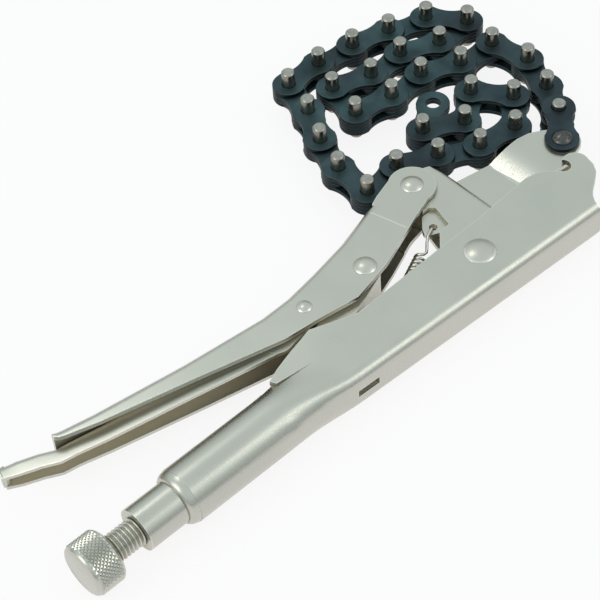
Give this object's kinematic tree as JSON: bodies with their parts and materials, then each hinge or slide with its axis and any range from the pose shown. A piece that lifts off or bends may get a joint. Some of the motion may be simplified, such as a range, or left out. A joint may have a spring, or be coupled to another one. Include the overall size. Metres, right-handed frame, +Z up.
{
  "type": "locking chain clamp",
  "caption": "Locking plier-type clamp with a toggle lever, release lever and adjusting screw, whose pressed jaw carries a length of pin chain that hooks back into the fixed handle.",
  "frame": {"origin": "centre of the bounding box's underside, on the plane that the tube and the rivets rest on", "axes": "+X along the adjusting screw towards the jaw, +Y from the fixed handle towards the lever, +Z up out of the side that lies uppermost"},
  "size_m": [0.2676, 0.134, 0.02],
  "materials": {
    "nickel_body": "satin nickel plate on pressed steel",
    "blued_plate": "blued steel chain plate",
    "bare_steel": "bright drawn steel",
    "dark_steel": "dark oiled steel"
  },
  "bodies": {
    "handle": {"fixed_handle": "nickel_body", "jaw_pivot_rivet": "nickel_body", "return_spring": "bare_steel"},
    "jaw": {"movable_jaw": "nickel_body", "anchor_rivet": "dark_steel"},
    "lever": {"lever_handle": "nickel_body", "lever_pivot_rivet": "nickel_body", "link_pivot_rivet": "nickel_body", "release_pivot_rivet": "nickel_body"},
    "toggle": {"toggle_link": "nickel_body"},
    "release": {"release_lever": "nickel_body"},
    "tip": {"thrust_tip": "bare_steel"},
    "screw": {"adjusting_screw": "nickel_body", "adjusting_knob": "nickel_body"},
    "chain_00": {"anchor_link": "blued_plate"},
    "chain_01": {"outer_link_01": "blued_plate", "link_pins_01": "bare_steel"},
    "chain_02": {"inner_link_01": "blued_plate"},
    "chain_03": {"outer_link_02": "blued_plate", "link_pins_02": "bare_steel"},
    "chain_04": {"inner_link_02": "blued_plate"},
    "chain_05": {"outer_link_03": "blued_plate", "link_pins_03": "bare_steel"},
    "chain_06": {"inner_link_03": "blued_plate"},
    "chain_07": {"outer_link_04": "blued_plate", "link_pins_04": "bare_steel"},
    "chain_08": {"inner_link_04": "blued_plate"},
    "chain_09": {"outer_link_05": "blued_plate", "link_pins_05": "bare_steel"},
    "chain_10": {"inner_link_05": "blued_plate"},
    "chain_11": {"outer_link_06": "blued_plate", "link_pins_06": "bare_steel"},
    "chain_12": {"inner_link_06": "blued_plate"},
    "chain_13": {"outer_link_07": "blued_plate", "link_pins_07": "bare_steel"},
    "chain_14": {"inner_link_07": "blued_plate"},
    "chain_15": {"outer_link_08": "blued_plate", "link_pins_08": "bare_steel"},
    "chain_16": {"inner_link_08": "blued_plate"},
    "chain_17": {"outer_link_09": "blued_plate", "link_pins_09": "bare_steel"},
    "chain_18": {"inner_link_09": "blued_plate"},
    "chain_19": {"outer_link_10": "blued_plate", "link_pins_10": "bare_steel"},
    "chain_20": {"inner_link_10": "blued_plate"},
    "chain_21": {"outer_link_11": "blued_plate", "link_pins_11": "bare_steel"},
    "chain_22": {"inner_link_11": "blued_plate"},
    "chain_23": {"outer_link_12": "blued_plate", "link_pins_12": "bare_steel"},
    "chain_24": {"inner_link_12": "blued_plate"},
    "chain_25": {"outer_link_13": "blued_plate", "link_pins_13": "bare_steel"},
    "chain_26": {"inner_link_13": "blued_plate"},
    "chain_27": {"outer_link_14": "blued_plate", "link_pins_14": "bare_steel"},
    "chain_28": {"inner_link_14": "blued_plate"},
    "chain_29": {"outer_link_15": "blued_plate", "link_pins_15": "bare_steel"},
    "chain_30": {"inner_link_15": "blued_plate"}
  },
  "joints": [
    {"name": "jaw_pivot", "type": "hinge", "parent": "handle", "child": "jaw", "pos_m": [0.04224, -0.05113, 0.01], "axis": [0, 0, 1], "range_deg": [0, 10.5], "deforming": ["return_spring"]},
    {"name": "lever_pivot", "type": "hinge", "parent": "jaw", "child": "lever", "pos_m": [0.04854, -0.01223, 0.01], "axis": [0, 0, 1], "range_deg": [-33.8, 0]},
    {"name": "link_pivot", "type": "hinge", "parent": "lever", "child": "toggle", "pos_m": [0.00994, -0.02833, 0.01], "axis": [0, 0, 1], "range_deg": [0, 42.4]},
    {"name": "release_pivot", "type": "hinge", "parent": "lever", "child": "release", "pos_m": [-0.01696, -0.02693, 0.01], "axis": [0, 0, 1], "range_deg": [0, 5]},
    {"name": "screw_slide", "type": "slide", "parent": "handle", "child": "tip", "axis": [1, 0, 0], "range_m": [-0.006, 0.001]},
    {"name": "knob_turn", "type": "hinge", "parent": "tip", "child": "screw", "pos_m": [-0.06776, -0.05113, 0.01], "axis": [1, 0, 0], "range_deg": [-1441, 241]},
    {"name": "chain_anchor", "type": "hinge", "parent": "jaw", "child": "chain_00", "pos_m": [0.10264, -0.03393, 0.01], "axis": [0, 0, 1], "range_deg": [-10.5, 0]},
    {"name": "chain_pin_01", "type": "hinge", "parent": "chain_00", "child": "chain_01", "pos_m": [0.11346, -0.02232, 0.01], "axis": [0, 0, 1], "range_deg": [-19.5, 0]},
    {"name": "chain_pin_02", "type": "hinge", "parent": "chain_01", "child": "chain_02", "pos_m": [0.12188, -0.00886, 0.01], "axis": [0, 0, 1], "range_deg": [-18.5, 0]},
    {"name": "chain_pin_03", "type": "hinge", "parent": "chain_02", "child": "chain_03", "pos_m": [0.12756, 0.00596, 0.01], "axis": [0, 0, 1], "range_deg": [-38.5, 0]},
    {"name": "chain_pin_04", "type": "hinge", "parent": "chain_03", "child": "chain_04", "pos_m": [0.12481, 0.0216, 0.01], "axis": [0, 0, 1], "range_deg": [-78.5, 0]},
    {"name": "chain_pin_05", "type": "hinge", "parent": "chain_04", "child": "chain_05", "pos_m": [0.10897, 0.0227, 0.01], "axis": [0, 0, 1], "range_deg": [0, 13.5]},
    {"name": "chain_pin_06", "type": "hinge", "parent": "chain_05", "child": "chain_06", "pos_m": [0.09447, 0.02916, 0.01], "axis": [0, 0, 1], "range_deg": [-25.5, 0]},
    {"name": "chain_pin_07", "type": "hinge", "parent": "chain_06", "child": "chain_07", "pos_m": [0.0786, 0.02861, 0.01], "axis": [0, 0, 1], "range_deg": [-12.5, 0]},
    {"name": "chain_pin_08", "type": "hinge", "parent": "chain_07", "child": "chain_08", "pos_m": [0.06302, 0.03164, 0.01], "axis": [0, 0, 1], "range_deg": [0, 74.5]},
    {"name": "chain_pin_09", "type": "hinge", "parent": "chain_08", "child": "chain_09", "pos_m": [0.06605, 0.04722, 0.01], "axis": [0, 0, 1], "range_deg": [0, 94.5]},
    {"name": "chain_pin_10", "type": "hinge", "parent": "chain_09", "child": "chain_10", "pos_m": [0.08106, 0.04205, 0.01], "axis": [0, 0, 1], "range_deg": [-16.5, 0]},
    {"name": "chain_pin_11", "type": "hinge", "parent": "chain_10", "child": "chain_11", "pos_m": [0.09692, 0.04261, 0.01], "axis": [0, 0, 1], "range_deg": [0, 36.5]},
    {"name": "chain_pin_12", "type": "hinge", "parent": "chain_11", "child": "chain_12", "pos_m": [0.11143, 0.03615, 0.01], "axis": [0, 0, 1], "range_deg": [-10.5, 0]},
    {"name": "chain_pin_13", "type": "hinge", "parent": "chain_12", "child": "chain_13", "pos_m": [0.12728, 0.03698, 0.01], "axis": [0, 0, 1], "range_deg": [-93, 0]},
    {"name": "chain_pin_14", "type": "hinge", "parent": "chain_13", "child": "chain_14", "pos_m": [0.11795, 0.04982, 0.01], "axis": [0, 0, 1], "range_deg": [-10.5, 0]},
    {"name": "chain_pin_15", "type": "hinge", "parent": "chain_14", "child": "chain_15", "pos_m": [0.10294, 0.05499, 0.01], "axis": [0, 0, 1], "range_deg": [0, 6.5]},
    {"name": "chain_pin_16", "type": "hinge", "parent": "chain_15", "child": "chain_16", "pos_m": [0.08754, 0.05883, 0.01], "axis": [0, 0, 1], "range_deg": [0, 6.5]},
    {"name": "chain_pin_17", "type": "hinge", "parent": "chain_16", "child": "chain_17", "pos_m": [0.07178, 0.06077, 0.01], "axis": [0, 0, 1], "range_deg": [-10.5, 0]},
    {"name": "chain_pin_18", "type": "hinge", "parent": "chain_17", "child": "chain_18", "pos_m": [0.05591, 0.06021, 0.01], "axis": [0, 0, 1], "range_deg": [-51.5, 0]},
    {"name": "chain_pin_19", "type": "hinge", "parent": "chain_18", "child": "chain_19", "pos_m": [0.05154, 0.04495, 0.01], "axis": [0, 0, 1], "range_deg": [0, 21.5]},
    {"name": "chain_pin_20", "type": "hinge", "parent": "chain_19", "child": "chain_20", "pos_m": [0.04433, 0.03081, 0.01], "axis": [0, 0, 1], "range_deg": [-13.5, 0]},
    {"name": "chain_pin_21", "type": "hinge", "parent": "chain_20", "child": "chain_21", "pos_m": [0.03916, 0.0158, 0.01], "axis": [0, 0, 1], "range_deg": [-37.5, 0]},
    {"name": "chain_pin_22", "type": "hinge", "parent": "chain_21", "child": "chain_22", "pos_m": [0.03833, -0.00006, 0.01], "axis": [0, 0, 1], "range_deg": [-132.5, 0]},
    {"name": "chain_pin_23", "type": "hinge", "parent": "chain_22", "child": "chain_23", "pos_m": [0.05415, 0.00133, 0.01], "axis": [0, 0, 1], "range_deg": [0, 4.5]},
    {"name": "chain_pin_24", "type": "hinge", "parent": "chain_23", "child": "chain_24", "pos_m": [0.06865, -0.00513, 0.01], "axis": [0, 0, 1], "range_deg": [0, 3.5]},
    {"name": "chain_pin_25", "type": "hinge", "parent": "chain_24", "child": "chain_25", "pos_m": [0.08267, -0.01258, 0.01], "axis": [0, 0, 1], "range_deg": [-23.5, 0]},
    {"name": "chain_pin_26", "type": "hinge", "parent": "chain_25", "child": "chain_26", "pos_m": [0.09835, -0.01507, 0.01], "axis": [0, 0, 1], "range_deg": [-23.5, 0]},
    {"name": "chain_pin_27", "type": "hinge", "parent": "chain_26", "child": "chain_27", "pos_m": [0.10957, -0.00384, 0.01], "axis": [0, 0, 1], "range_deg": [-32.5, 0]},
    {"name": "chain_pin_28", "type": "hinge", "parent": "chain_27", "child": "chain_28", "pos_m": [0.10046, 0.00916, 0.01], "axis": [0, 0, 1], "range_deg": [-46.5, 0]},
    {"name": "chain_pin_29", "type": "hinge", "parent": "chain_28", "child": "chain_29", "pos_m": [0.08762, -0.00017, 0.01], "axis": [0, 0, 1], "range_deg": [0, 36.5]},
    {"name": "chain_pin_30", "type": "hinge", "parent": "chain_29", "child": "chain_30", "pos_m": [0.07374, 0.00753, 0.01], "axis": [0, 0, 1], "range_deg": [0, 115.5]}
  ],
  "couplings": [
    {"joint": "jaw_pivot", "follows": "lever_pivot", "ratio": -0.29586},
    {"joint": "link_pivot", "follows": "lever_pivot", "ratio": -1.2396},
    {"joint": "chain_anchor", "follows": "lever_pivot", "ratio": 0.29586},
    {"joint": "knob_turn", "follows": "screw_slide", "rad_per_m": 4188.8},
    {"joint": "chain_pin_01", "follows": "chain_pin_13", "ratio": 0.2043},
    {"joint": "chain_pin_02", "follows": "chain_pin_13", "ratio": 0.19355},
    {"joint": "chain_pin_03", "follows": "chain_pin_13", "ratio": 0.4086},
    {"joint": "chain_pin_04", "follows": "chain_pin_13", "ratio": 0.83871},
    {"joint": "chain_pin_05", "follows": "chain_pin_13", "ratio": -0.13978},
    {"joint": "chain_pin_06", "follows": "chain_pin_13", "ratio": 0.26882},
    {"joint": "chain_pin_07", "follows": "chain_pin_13", "ratio": 0.12903},
    {"joint": "chain_pin_08", "follows": "chain_pin_13", "ratio": -0.7957},
    {"joint": "chain_pin_09", "follows": "chain_pin_13", "ratio": -1.0108},
    {"joint": "chain_pin_10", "follows": "chain_pin_13", "ratio": 0.17204},
    {"joint": "chain_pin_11", "follows": "chain_pin_13", "ratio": -0.3871},
    {"joint": "chain_pin_12", "follows": "chain_pin_13", "ratio": 0.10753},
    {"joint": "chain_pin_14", "follows": "chain_pin_13", "ratio": 0.10753},
    {"joint": "chain_pin_15", "follows": "chain_pin_13", "ratio": -0.064516},
    {"joint": "chain_pin_16", "follows": "chain_pin_13", "ratio": -0.064516},
    {"joint": "chain_pin_17", "follows": "chain_pin_13", "ratio": 0.10753},
    {"joint": "chain_pin_18", "follows": "chain_pin_13", "ratio": 0.54839},
    {"joint": "chain_pin_19", "follows": "chain_pin_13", "ratio": -0.22581},
    {"joint": "chain_pin_20", "follows": "chain_pin_13", "ratio": 0.13978},
    {"joint": "chain_pin_21", "follows": "chain_pin_13", "ratio": 0.39785},
    {"joint": "chain_pin_22", "follows": "chain_pin_13", "ratio": 1.4194},
    {"joint": "chain_pin_23", "follows": "chain_pin_13", "ratio": -0.043011},
    {"joint": "chain_pin_24", "follows": "chain_pin_13", "ratio": -0.032258},
    {"joint": "chain_pin_25", "follows": "chain_pin_13", "ratio": 0.24731},
    {"joint": "chain_pin_26", "follows": "chain_pin_13", "ratio": 0.24731},
    {"joint": "chain_pin_27", "follows": "chain_pin_13", "ratio": 0.34409},
    {"joint": "chain_pin_28", "follows": "chain_pin_13", "ratio": 0.49462},
    {"joint": "chain_pin_29", "follows": "chain_pin_13", "ratio": -0.3871},
    {"joint": "chain_pin_30", "follows": "chain_pin_13", "ratio": -1.2366}
  ]
}
